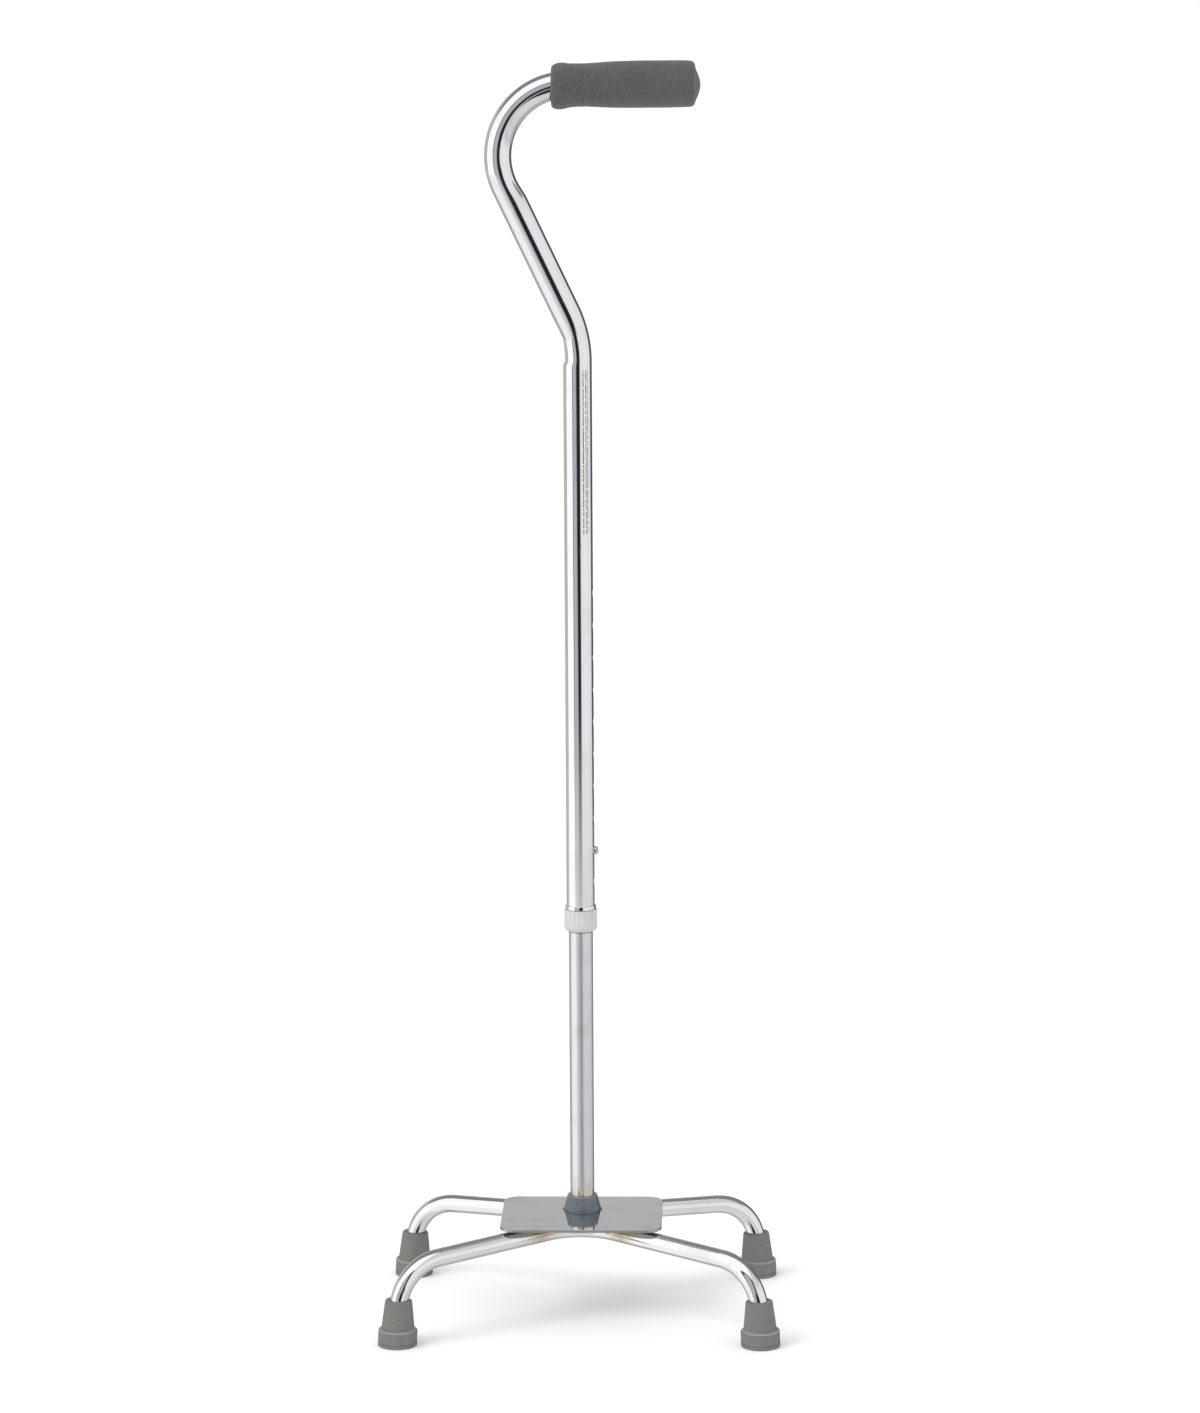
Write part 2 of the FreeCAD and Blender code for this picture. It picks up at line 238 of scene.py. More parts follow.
# The dark strip on the floor in front of the camera.
STRIP_SPREAD = (19, 15)
STRIP_TOP = (-17.4, -18.4)
STRIP_FOOT = (-50, -38)
# The far ground gets darker between two elevations.
FALL_EDGE = (-10, -16)
FALL = (1.12, 0.92)


def make_world():
    """Soft white studio: one wall bright, one grey, and a dark gap where the camera stands."""
    world = bpy.data.worlds.new("studio")
    world.use_nodes = True
    bpy.context.scene.world = world
    tree = world.node_tree
    tree.nodes.clear()

    def fade(value, edge, to=(0.0, 1.0), kind="SMOOTHSTEP"):
        return map_range(tree, value, math.radians(edge[0]), math.radians(edge[1]), *to, kind)

    across, along, upward = axes(tree, add(tree, "ShaderNodeTexCoord").outputs["Generated"])
    toward = times(tree, along, -1.0)
    height = math_node(tree, "ARCSINE", upward)
    angle = math_node(tree, "ARCTAN2", across, toward)
    apart = map_range(tree, math_node(tree, "ARCCOSINE", toward), 0, math.pi, kind="LINEAR")
    upper_left, lower_right = (ramp(tree, apart, [(degrees / 180, color) for degrees, color in stops])
                               for stops in (UPPER_LEFT_WALLS, LOWER_RIGHT_WALLS))
    side = map_range(tree, minus(tree, upward, times(tree, across, 2.0)), -0.06, 0.10)
    walls = mix_color(tree, side, lower_right, upper_left)
    behind = map_range(tree, along, 0.02, 0.20)
    roof = fade(height, ROOF_EDGE)
    right_roof = times(tree, roof, minus(tree, 1.0, side))
    walls = mix_color(tree, times(tree, right_roof, 0.75), walls, RIGHT_ROOF)
    walls = mix_color(tree, times(tree, roof, behind), walls, BACK_ROOF)

    lean = [math.radians(bearing) for bearing in DOOR_BEARING]
    door = fade(gap(tree, angle, fade(height, DOOR_LEAN, lean, "LINEAR")), DOOR_SPREAD)
    door = times(tree, times(tree, door, fade(height, DOOR_START)), fade(height, DOOR_END))
    walls = mix_color(tree, door, walls, DARK_FLOOR)

    bearing = map_range(tree, angle, -math.pi, math.pi, kind="LINEAR")
    far = ramp(tree, bearing, [((degrees + 180) / 360, color) for degrees, color in FAR_GROUND])
    falling = fade(height, FALL_EDGE, FALL, "LINEAR")
    far = add(tree, "ShaderNodeVectorMath", {0: far, "Scale": falling}, operation="SCALE").outputs[0]
    seen = mix_color(tree, fade(height, FAR_EDGE), walls, far)
    to_left = fade(gap(tree, angle, math.radians(LEFT_BEARING)), LEFT_SPREAD)
    near = mix_color(tree, behind, NEAR_GROUND, GROUND_BEHIND)
    near = mix_color(tree, times(tree, to_left, fade(height, STEEP_EDGE)), near, LEFT_GROUND)
    seen = mix_color(tree, fade(height, NEAR_EDGE), seen, near)
    ahead = fade(math_node(tree, "ABSOLUTE", angle), STRIP_SPREAD)
    low = times(tree, fade(height, STRIP_TOP), fade(height, STRIP_FOOT))
    seen = mix_color(tree, times(tree, ahead, low), seen, DARK_FLOOR)

    path = add(tree, "ShaderNodeLightPath").outputs
    reflected, fill, backdrop = (
        add(tree, "ShaderNodeBackground", {"Color": color}).outputs[0]
        for color in (seen, (*SOFT_FILL, 1), (*BACKDROP, 1)))
    lit = add(tree, "ShaderNodeMixShader", {0: path["Is Diffuse Ray"], 1: reflected, 2: fill})
    mixed = add(tree, "ShaderNodeMixShader", {0: path["Is Camera Ray"], 1: lit.outputs[0], 2: backdrop})
    add(tree, "ShaderNodeOutputWorld", {"Surface": mixed.outputs[0]})


FLOOR_R = 6.0
FLOOR_SIDES = 96


def make_floor():
    """White floor that only takes light and shadow."""
    mesh = bpy.data.meshes.new("floor")
    around = [2 * math.pi * i / FLOOR_SIDES for i in range(FLOOR_SIDES)]
    edge = [(FLOOR_R * math.cos(a), FLOOR_R * math.sin(a), 0) for a in around]
    mesh.from_pydata(edge, [], [list(range(FLOOR_SIDES))])
    floor = add_object("floor", mesh)
    paper = {"Base_Color": (0.96, 0.96, 0.965, 1), "Roughness": 0.9, "Specular_IOR_Level": 0.0}
    mesh.materials.append(new_material("floor_paper", **paper)[0])
    floor.visible_glossy = False


KEY_FROM = Vector((-1.60, -0.85, 1.95))
KEY_STRENGTH = 0.90
KEY_SPREAD = math.radians(28)


def make_studio():
    make_world()
    make_floor()
    data = bpy.data.lights.new("key_light", "SUN")
    data.energy = KEY_STRENGTH
    data.angle = KEY_SPREAD
    lamp = add_object("key_light", data)
    lamp.matrix_world = (-KEY_FROM).to_track_quat("-Z", "Y").to_matrix().to_4x4()
    lamp.visible_glossy = False
    view = bpy.context.scene.view_settings
    view.view_transform = "Standard"
    view.look = "None"


# ---- shared effects
def effect_group(name, **inputs):
    """A new shader node group with a Place input and numbers that have these start values."""
    group = bpy.data.node_groups.new(name, "ShaderNodeTree")
    group.interface.new_socket("Place", in_out="INPUT", socket_type="NodeSocketVector")
    for label, value in inputs.items():
        label = label.replace("_", " ")
        socket = group.interface.new_socket(label, in_out="INPUT", socket_type="NodeSocketFloat")
        socket.default_value = value
    given = group.nodes.new("NodeGroupInput").outputs
    return group, given["Place"], given


def put_out(tree, **results):
    """Closes a group, with a socket of the right kind for each result."""
    kinds = {"VALUE": "Float", "VECTOR": "Vector", "RGBA": "Color"}
    for label, value in results.items():
        tree.interface.new_socket(label, in_out="OUTPUT", socket_type="NodeSocket" + kinds[value.type])
    add(tree, "NodeGroupOutput", results)
    return tree


def handling_marks():
    """Faint finger smudges and hair scratches on polished metal."""
    tree, place, given = effect_group("handling_marks", Smudge_Amount=1.0, Scratch_Amount=1.0)
    patches = map_range(tree, noise_value(tree, place, 38, 4), 0.50, 0.72)
    hairs = noise_value(tree, place, 230, 1, (1.0, 1.0, 0.14))
    line = map_range(tree, gap(tree, hairs, 0.5), 0.010, 0.0)
    here = map_range(tree, noise_value(tree, place, 60, 1), 0.52, 0.60)
    return put_out(tree, Smudges=times(tree, patches, given["Smudge Amount"]),
                   Scratches=times(tree, times(tree, line, here), given["Scratch Amount"]))


def surface_grain():
    """Fine pitted grain of a moulded or foamed surface."""
    tree, place, given = effect_group("surface_grain", Fineness=900.0, Depth=0.0001)
    fine = noise_value(tree, place, given["Fineness"])
    cells = add(tree, "ShaderNodeTexVoronoi", {"Vector": place, "Scale": times(tree, given["Fineness"], 0.8)})
    pits = map_range(tree, cells.outputs["Distance"], 0.05, 0.55)
    grain = times(tree, fine, plus(tree, pits, 0.35))
    broad = noise_value(tree, place, times(tree, given["Fineness"], 0.09), 4)
    return put_out(tree, Grain=map_range(tree, grain, 0.2, 0.9), Patches=map_range(tree, broad, 0.35, 0.68),
                   Normal=bump(tree, grain, given["Depth"], 0.8))


def settled_dust():
    """Dust and scuffing that thins out above the ground."""
    tree, place, given = effect_group("settled_dust", Height=0.02, Amount=1.0)
    low = minus(tree, 1.0, math_node(tree, "DIVIDE", axes(tree, place)["Z"], given["Height"]))
    patchy = map_range(tree, noise_value(tree, place, 190, 5), 0.38, 0.66)
    dust = times(tree, map_range(tree, low, -0.2, 1.0), patchy)
    return put_out(tree, Dust=times(tree, dust, given["Amount"]))


def heat_tint_and_shade():
    """Straw, purple and brown oxide round the welds beneath the plate. Its dark brown core at the welds is
    also painted shade for the gap beneath the plate.
    """
    tree, place, given = effect_group("heat_tint_and_shade", Reach=0.02)
    x, y, z = axes(tree, place)
    x = math_node(tree, "ABSOLUTE", x)
    mirrored = add(tree, "ShaderNodeCombineXYZ", {"X": x, "Y": y, "Z": z}).outputs[0]
    gaps = (distance(tree, mirrored, spot) for spot in (FRONT_WELD, REAR_WELD))
    nearest = math_node(tree, "MINIMUM", *gaps)
    ragged = times(tree, noise_value(tree, place, 120, 3), 0.012)
    reach = math_node(tree, "DIVIDE", plus(tree, nearest, ragged), given["Reach"])
    bands = [(0.0, (0.20, 0.17, 0.15)), (0.35, (0.42, 0.36, 0.42)), (0.55, (0.62, 0.50, 0.34)),
             (0.8, (0.80, 0.74, 0.60)), (1.0, (0.9, 0.9, 0.88))]
    return put_out(tree, Heat=map_range(tree, reach, 1.0, 0.45), Oxide=ramp(tree, reach, bands))


EFFECTS = {make.__name__: make() for make in (handling_marks, surface_grain, settled_dust, heat_tint_and_shade)}


def effect(tree, name, place, **values):
    """One shared effect placed in a material, with its own values. Returns its outputs."""
    inputs = {key.replace("_", " "): value for key, value in values.items()}
    return add(tree, "ShaderNodeGroup", {"Place": place, **inputs}, node_tree=EFFECTS[name]).outputs


# ---- materials
def new_material(name, **values):
    """A Principled material with these values, its node tree and its place coordinates."""
    material = bpy.data.materials.new(name)
    material.use_nodes = True
    tree = material.node_tree
    for key, value in values.items():
        tree.nodes["Principled BSDF"].inputs[key.replace("_", " ")].default_value = value
    return material, tree, add(tree, "ShaderNodeTexCoord").outputs["Object"]


def coat(material, color, roughness, normal):
    """Links a finished surface to the material's shader, and returns the material."""
    tree = material.node_tree
    for name, value in (("Base Color", color), ("Roughness", roughness), ("Normal", normal)):
        tree.links.new(value, tree.nodes["Principled BSDF"].inputs[name])
    return material


def print_marks(tree, place):
    """Three plain broken lines where such tubes carry small print. They form no letters."""
    x, y, upright = axes(tree, place)
    angle = math_node(tree, "ARCTAN2", x, minus(tree, SHAFT_Y, y))
    total = None
    for degrees, half_width, seed in ((24.0, 2.0, 3.0), (35.5, 1.7, 11.0), (43.0, 1.7, 19.0)):
        off = gap(tree, angle, math.radians(degrees))
        line = map_range(tree, off, math.radians(half_width), math.radians(half_width * 0.7))
        spot = add(tree, "ShaderNodeCombineXYZ", {"X": seed, "Z": upright}).outputs[0]
        line = times(tree, line, map_range(tree, noise_value(tree, spot, 420, 1), 0.42, 0.46))
        total = line if total is None else math_node(tree, "MAXIMUM", total, line)
    above = map_range(tree, upright, 0.618, 0.619)
    below = map_range(tree, upright, 0.746, 0.745)
    return times(tree, total, times(tree, above, below))


def bright_chrome(name, welded=False, printed=False):
    """Polished nickel-chrome plating with faint smudges and hair scratches."""
    material, tree, place = new_material(name, Metallic=1.0)
    marks = effect(tree, "handling_marks", place, Scratch_Amount=0.8)
    tone = mix_color(tree, noise_value(tree, place, 9, 3), (0.84, 0.845, 0.86), (0.89, 0.888, 0.885))
    color = mix_color(tree, marks["Smudges"], tone, (0.80, 0.795, 0.79))
    color = mix_color(tree, marks["Scratches"], color, (0.66, 0.66, 0.67))
    roughness = mix_value(tree, marks["Smudges"], 0.035, 0.10)
    if welded:
        # partly painted shade: the dark core of the weld tint darkens the leg tops beneath the plate
        heat_and_shade = effect(tree, "heat_tint_and_shade", place, Reach=0.030)
        color = mix_color(tree, heat_and_shade["Heat"], color, heat_and_shade["Oxide"])
        roughness = plus(tree, roughness, times(tree, heat_and_shade["Heat"], 0.22))
        dust = effect(tree, "settled_dust", place, Height=0.045, Amount=0.35)["Dust"]
        color = mix_color(tree, dust, color, (0.50, 0.49, 0.46))
        roughness = plus(tree, roughness, times(tree, dust, 0.2))
    if printed:
        ink = print_marks(tree, place)
        color = mix_color(tree, ink, color, (0.02, 0.02, 0.022))
        roughness = plus(tree, roughness, times(tree, ink, 0.35))
    ripple = noise_value(tree, place, 26, 2, (1, 1, 0.25))
    height = minus(tree, ripple, times(tree, marks["Scratches"], 0.06))
    return coat(material, color, roughness, bump(tree, height, 0.00012))


def satin_plating():
    """Satin zinc-nickel on the lower tube: drawn lengthwise, with warm streaks near its foot that are a
    painted reflection, and a painted shadow line beneath the nut.
    """
    material, tree, place = new_material("satin_plating", Metallic=1.0)
    marks = effect(tree, "handling_marks", place, Smudge_Amount=0.8)
    drawn = noise_value(tree, place, 900, 2, (1, 1, 0.02))
    color = mix_color(tree, drawn, (0.77, 0.78, 0.80), (0.85, 0.855, 0.865))
    color = mix_color(tree, marks["Smudges"], color, (0.74, 0.735, 0.73))
    upright = axes(tree, place)["Z"]
    # painted reflection: warm streaks with lower roughness near the foot stand in for a warm reflection
    streaks = times(tree, noise_value(tree, place, 420, 3, (1, 1, 0.10)), 0.045)
    foot = map_range(tree, minus(tree, upright, streaks), 0.086, 0.066)
    color = mix_color(tree, foot, color, (0.72, 0.64, 0.53))
    roughness = map_range(tree, drawn, 0.3, 0.7, 0.16, 0.23, "LINEAR")
    roughness = mix_value(tree, foot, roughness, 0.11)
    # painted shadow: a dark line on the lower tube just beneath the nut's nose
    nut_shadow_line = gap(tree, upright, NUT_NOSE - 0.0006)
    color = mix_color(tree, map_range(tree, nut_shadow_line, 0.0013, 0.0005), color, (0.40, 0.40, 0.41))
    height = plus(tree, drawn, times(tree, marks["Scratches"], -0.5))
    return coat(material, color, roughness, bump(tree, height, 0.00001))


def plate_plating():
    """Thin bright plating on rolled steel: faint stains, warm toward the welds and round the boot, painted
    shade on its downward faces and a painted shadow ring where the boot stands.
    """
    material, tree, place = new_material("plate_plating", Metallic=1.0)
    marks = effect(tree, "handling_marks", place)
    tone = mix_color(tree, noise_value(tree, place, 22, 4), (0.76, 0.79, 0.83), (0.85, 0.84, 0.82))
    color = mix_color(tree, marks["Smudges"], tone, (0.72, 0.71, 0.70))
    color = mix_color(tree, marks["Scratches"], color, grey(0.93))
    stain_noise = noise_value(tree, place, 70, 5)
    toward_front = map_range(tree, axes(tree, place)["Y"], -0.012, -0.040)
    stain = times(tree, map_range(tree, stain_noise, 0.45, 0.70), toward_front)
    color = mix_color(tree, times(tree, stain, 0.45), color, (0.66, 0.64, 0.52))
    rust = times(tree, map_range(tree, stain_noise, 0.62, 0.72), 0.4)
    color = mix_color(tree, rust, color, (0.66, 0.60, 0.52))
    from_shaft = distance(tree, place, SHAFT_FOOT)
    seep = map_range(tree, from_shaft, 0.026, SEAM_R)
    seep = times(tree, seep, map_range(tree, stain_noise, 0.30, 0.60))
    color = mix_color(tree, times(tree, seep, 0.8), color, (0.80, 0.72, 0.56))
    # painted shadow: a dark ring on the plate where the boot's foot stands
    boot_contact_shadow = gap(tree, from_shaft, SEAM_R)
    color = mix_color(tree, map_range(tree, boot_contact_shadow, 0.0010, 0.0004), color, grey(0.12))
    # partly painted shade: the dark core of the weld tint darkens the plate near the welds
    heat_and_shade = effect(tree, "heat_tint_and_shade", place, Reach=0.020)
    facing = add(tree, "ShaderNodeNewGeometry").outputs["Normal"]
    facing_z = axes(tree, facing)["Z"]
    # painted shade: faces that look downward are darkened; the weld oxide is mixed in there
    painted_underside_shade = map_range(tree, facing_z, -0.2, -0.8)
    color = mix_color(tree, painted_underside_shade, color, (0.34, 0.33, 0.31))
    color = mix_color(tree, times(tree, heat_and_shade["Heat"], painted_underside_shade), color, heat_and_shade["Oxide"])
    side = minus(tree, map_range(tree, facing_z, 0.75, 0.35), painted_underside_shade)
    color = mix_color(tree, side, color, (0.46, 0.46, 0.47))
    roughness = mix_value(tree, marks["Smudges"], 0.055, 0.13)
    roughness = plus(tree, roughness, times(tree, painted_underside_shade, 0.25))
    rolled = noise_value(tree, place, 60, 3, (0.3, 1, 1))
    height = minus(tree, rolled, times(tree, marks["Scratches"], 0.1))
    return coat(material, color, roughness, bump(tree, height, 0.00006))


def weld_metal():
    """Plated-over weld: dark and tinted, with a grainy skin."""
    material, tree, place = new_material("weld_metal", Metallic=0.9)
    heat_and_shade = effect(tree, "heat_tint_and_shade", place, Reach=0.024)
    grain = effect(tree, "surface_grain", place, Fineness=1500.0, Depth=0.00008)
    color = mix_color(tree, grain["Grain"], (0.20, 0.19, 0.18), (0.48, 0.46, 0.44))
    color = mix_color(tree, times(tree, heat_and_shade["Heat"], 0.4), color, heat_and_shade["Oxide"])
    roughness = mix_value(tree, grain["Grain"], 0.50, 0.28)
    return coat(material, color, roughness, grain["Normal"])


def zinc_plate():
    """Dull zinc plating with spangles, for the bolt and washers."""
    material, tree, place = new_material("zinc_plate", Metallic=1.0)
    cells = add(tree, "ShaderNodeTexVoronoi", {"Vector": place, "Scale": 700.0}).outputs["Color"]
    spangle = axes(tree, cells)["X"]
    marks = effect(tree, "handling_marks", place)
    color = mix_color(tree, spangle, (0.54, 0.55, 0.56), (0.68, 0.68, 0.66))
    color = mix_color(tree, marks["Smudges"], color, (0.46, 0.44, 0.40))
    roughness = mix_value(tree, spangle, 0.30, 0.46)
    return coat(material, color, roughness, bump(tree, spangle, 0.00002))


def turned_steel(name, dark, light, rough):
    """Bare spring or button steel with fine turning marks and oil darkening."""
    material, tree, place = new_material(name, Metallic=1.0)
    lines = noise_value(tree, place, 2400, 1, (1, 0.2, 0.2))
    marks = effect(tree, "handling_marks", place)
    color = mix_color(tree, lines, dark, light)
    color = mix_color(tree, marks["Smudges"], color, dark)
    roughness = map_range(tree, lines, 0.3, 0.7, rough, rough + 0.12, "LINEAR")
    return coat(material, color, roughness, bump(tree, lines, 0.00001))


def charcoal_foam():
    """Closed-cell foam: matt charcoal skin with open pores and hand-polished patches."""
    material, tree, place = new_material("charcoal_foam", Specular_IOR_Level=0.25, Sheen_Weight=0.15,
                                                 Sheen_Roughness=0.6)
    grain = effect(tree, "surface_grain", place, Fineness=720.0, Depth=0.00035)
    coarse = effect(tree, "surface_grain", place, Fineness=330.0, Depth=0.0005)
    color = mix_color(tree, grain["Grain"], (0.066, 0.064, 0.062), (0.102, 0.099, 0.096))
    speck = times(tree, map_range(tree, coarse["Grain"], 0.22, 0.05), 0.45)
    color = mix_color(tree, speck, color, (0.048, 0.046, 0.044))
    color = mix_color(tree, times(tree, coarse["Patches"], 0.30), color, (0.108, 0.104, 0.100))
    roughness = mix_value(tree, coarse["Patches"], 0.95, 0.78)
    normal = bump(tree, coarse["Grain"], 0.0003, 0.4, grain["Normal"])
    return coat(material, color, roughness, normal)


def tip_rubber():
    """Grey moulded rubber: fine grain, a mould line above the sole, a painted highlight on the rim of the
    foot, scuffs and dust low down.
    """
    material, tree, place = new_material("tip_rubber", Specular_IOR_Level=0.35)
    grain = effect(tree, "surface_grain", place, Fineness=1300.0, Depth=0.00012)
    color = mix_color(tree, grain["Grain"], (0.150, 0.147, 0.138), (0.205, 0.201, 0.190))
    color = mix_color(tree, times(tree, grain["Patches"], 0.6), color, (0.168, 0.164, 0.153))
    dust = effect(tree, "settled_dust", place, Height=0.016, Amount=0.40)["Dust"]
    color = mix_color(tree, dust, color, (0.25, 0.245, 0.23))
    upright = axes(tree, place)["Z"]
    groove = map_range(tree, gap(tree, upright, TIP_GROOVE), 0.0005, 0.0001)
    color = mix_color(tree, times(tree, groove, 0.55), color, (0.12, 0.118, 0.11))
    # painted highlight: a light line round the rim where the tip's foot ends
    polished = map_range(tree, gap(tree, upright, TIP_STEP), 0.0008, 0.0002)
    color = mix_color(tree, times(tree, polished, 0.5), color, (0.42, 0.415, 0.40))
    roughness = mix_value(tree, grain["Grain"], 0.72, 0.54)
    normal = bump(tree, times(tree, groove, -1.0), 0.0003, normal=grain["Normal"])
    return coat(material, color, roughness, normal)


def moulded_plastic(name, dark, light, rough, lip=None, **settings):
    """Moulded plastic with a fine eroded skin. lip is the height of a rim whose top is painted lighter as a
    highlight.
    """
    material, tree, place = new_material(name, **settings)
    grain = effect(tree, "surface_grain", place, Fineness=1100.0, Depth=0.00006)
    marks = effect(tree, "handling_marks", place, Smudge_Amount=0.8, Scratch_Amount=0.7)
    color = mix_color(tree, grain["Patches"], dark, light)
    color = mix_color(tree, marks["Scratches"], color, tuple(min(1, 1.35 * v) for v in light))
    if lip is not None:
        # painted highlight: the top 1.4 mm of the rim is lightened all round
        upright = axes(tree, place)["Z"]
        painted_rim_highlight = map_range(tree, upright, lip - 0.0014, lip)
        color = mix_color(tree, times(tree, painted_rim_highlight, 0.5), color, tuple(1.6 * v for v in light))
    roughness = mix_value(tree, grain["Grain"], rough + 0.10, rough)
    return coat(material, color, roughness, grain["Normal"])


# ---- meshes
def add_smooth(name, places, faces, material):
    mesh = bpy.data.meshes.new(name)
    mesh.from_pydata(places, [], faces)
    mesh.shade_smooth()
    mesh.materials.append(material)
    return add_object(name, mesh)


class Shell:
    """Patches of one closed skin. They share border points, and every corner keeps its exact normal."""

    def __init__(self):
        self.numbers = {}
        self.places = []
        self.faces = []
        self.normals = []

    def patch(self, places, normals, faces, flip=False):
        """places and normals have a row for each point, and faces run counter-clockwise from outside."""
        own = []
        for place in places:
            key = tuple(int(round(value * 1e8)) for value in place)
            if key not in self.numbers:
                self.numbers[key] = len(self.places)
                self.places.append(tuple(float(value) for value in place))
            own.append(self.numbers[key])
        for face in faces:
            corners = face[::-1] if flip else face
            self.faces.append([own[i] for i in corners])
            self.normals.extend(-normals[i] if flip else normals[i] for i in corners)

    def grid(self, places, normals, closed=True, flip=False):
        """places is rows x columns x 3. A closed grid joins its last column to its first."""
        rows, columns = places.shape[:2]
        faces = []
        for i in range(rows - 1):
            for j in range(columns if closed else columns - 1):
                k = (j + 1) % columns
                faces.append([i * columns + j, i * columns + k, (i + 1) * columns + k, (i + 1) * columns + j])
        self.patch(places.reshape(-1, 3), normals.reshape(-1, 3), faces, flip)

    def cap(self, ring, normal):
        """Closes a small ring with one face that looks along the normal."""
        towards = np.cross(ring[1] - ring[0], ring[2] - ring[1]).dot(normal)
        face = list(range(len(ring)))[:: 1 if towards > 0 else -1]
        self.patch(ring, np.tile(normal, (len(ring), 1)), [face])

    def finish(self, name, material):
        piece = add_smooth(name, self.places, self.faces, material)
        piece.data.normals_split_custom_set([tuple(float(v) for v in n) for n in self.normals])
        return piece


def full_turn(count):
    """Angles of equal steps once round."""
    return np.arange(count) * 2 * math.pi / count


def grid_normals(places):
    """Normals of a smooth closed grid, from its own slopes."""
    around = np.roll(places, -1, axis=1) - np.roll(places, 1, axis=1)
    along = np.gradient(places, axis=0)
    normals = np.cross(around, along)
    return normals / np.maximum(np.linalg.norm(normals, axis=2, keepdims=True), 1e-12)


# ---- upper tube
COLUMNS = 96
WINDOW = 10                       # columns each side of a hole that its patch takes up
WINDOW_HALF = 5.4 * MM
WINDOW_ANGLES = np.arange(-WINDOW, WINDOW + 1) * 2 * math.pi / COLUMNS
# How far the bending tool pressed in the inside of the tube.
CLAMP_MARK = 1.5 * MM             # step where the clamp held it, below the lower bend
PINCH = 2.0 * MM                  # at the middle of the lower bend
TOP_FLAT = 1.25 * MM              # all round the top bend


def bend_line(step):
    """Centre line above the hole row: places, directions, and how far each bend is pressed in, in metres."""
    places, directions, low_press, top_press = [], [], [], []

    def note(place, lean, low, top):
        places.append(place)
        directions.append((-math.sin(lean), 0, math.cos(lean)))
        low_press.append(low)
        top_press.append(top)

    def smooth(value):
        value = min(max(value, 0), 1)
        return value * value * (3 - 2 * value)

    def run(start, end, lean, press):
        length = math.dist(start, end)
        count = max(2, int(length / step))
        for i in range(count):
            t = i / count
            place = [start[k] + (end[k] - start[k]) * t for k in range(3)]
            note(place, lean, *press(length * t, length))

    def arc(centre, radius, lean_from, lean_to, inside, press):
        count = max(2, int(radius * abs(lean_to - lean_from) / step))
        for i in range(count):
            lean = lean_from + (lean_to - lean_from) * i / count
            place = (centre[0] + inside * radius * math.cos(lean), SHAFT_Y,
                     centre[2] + inside * radius * math.sin(lean))
            note(place, lean, *press(i / count))

    cut = LOWER_BEND_R * math.tan(SLANT / 2)
    low_start = (0, SHAFT_Y, LOWER_BEND_Z - cut)
    low_centre = (-LOWER_BEND_R, SHAFT_Y, low_start[2])
    slope = (-math.sin(SLANT), 0, math.cos(SLANT))
    low_end = tuple(v + s * cut for v, s in zip((0, SHAFT_Y, LOWER_BEND_Z), slope))
    corner = (-(HANDLE_Z - LOWER_BEND_Z) * math.tan(SLANT), SHAFT_Y, HANDLE_Z)
    top_cut = TOP_BEND_R * math.tan((math.pi / 2 + SLANT) / 2)
    top_start = tuple(v - s * top_cut for v, s in zip(corner, slope))
    top_centre = (corner[0] + top_cut, SHAFT_Y, HANDLE_Z - TOP_BEND_R)
    top_end = (top_centre[0], SHAFT_Y, HANDLE_Z)

    fade, low_bite, top_bite = 12 * MM, 3.0 * MM, 15.0 * MM
    run((0, SHAFT_Y, ROW_TOP), low_start, 0,
        lambda s, whole: (CLAMP_MARK * smooth((s - whole) / low_bite + 1), 0))
    arc(low_centre, LOWER_BEND_R, 0, SLANT, 1,
        lambda t: (CLAMP_MARK * (1 - smooth(1.6 * t)) + PINCH * (1 - abs(2 * t - 1)) ** 1.6, 0))
    run(low_end, top_start, SLANT,
        lambda s, whole: (0, TOP_FLAT * smooth((s - whole) / top_bite + 1)))
    arc(top_centre, TOP_BEND_R, SLANT, -math.pi / 2, -1, lambda t: (0, TOP_FLAT))
    handle_end = (HANDLE_END_X, SHAFT_Y, HANDLE_Z)
    run(top_end, handle_end, -math.pi / 2, lambda s, whole: (0, TOP_FLAT * (1 - smooth(s / fade))))
    note(handle_end, -math.pi / 2, 0, 0)
    return np.array(places), np.array(directions), np.array(low_press), np.array(top_press)


def tube_grid(radius, step, press):
    """Rings round the centre line above the hole row. press scales how the bends are pressed in."""
    places, directions, low, top = bend_line(step)
    turn = full_turn(COLUMNS)
    side = np.cross([0, 1, 0], directions)
    left = np.maximum(0, -np.cos(turn)) ** 1.4
    right = np.maximum(0, np.cos(turn)) ** 1.4
    reach = radius - press * (low[:, None] * left + top[:, None] * right)
    out = side[:, None, :] * np.cos(turn)[None, :, None] + np.array([0, 1, 0]) * np.sin(turn)[None, :, None]
    return places[:, None, :] + out * reach[:, :, None]


def hole_border(middle):
    """Levels of the patch round a hole, its border as (angle, height), and the border's bearings."""
    levels = np.linspace(middle - WINDOW_HALF, middle + WINDOW_HALF, 5)
    first, last = WINDOW_ANGLES[0], WINDOW_ANGLES[-1]
    border = [(a, levels[0]) for a in WINDOW_ANGLES] + [(last, z) for z in levels[1:]]
    border += [(a, levels[-1]) for a in WINDOW_ANGLES[-2::-1]] + [(first, z) for z in levels[-2:0:-1]]
    border = np.array(border)
    return levels, border, np.arctan2(border[:, 1] - middle, UPPER_R * np.sin(border[:, 0]))


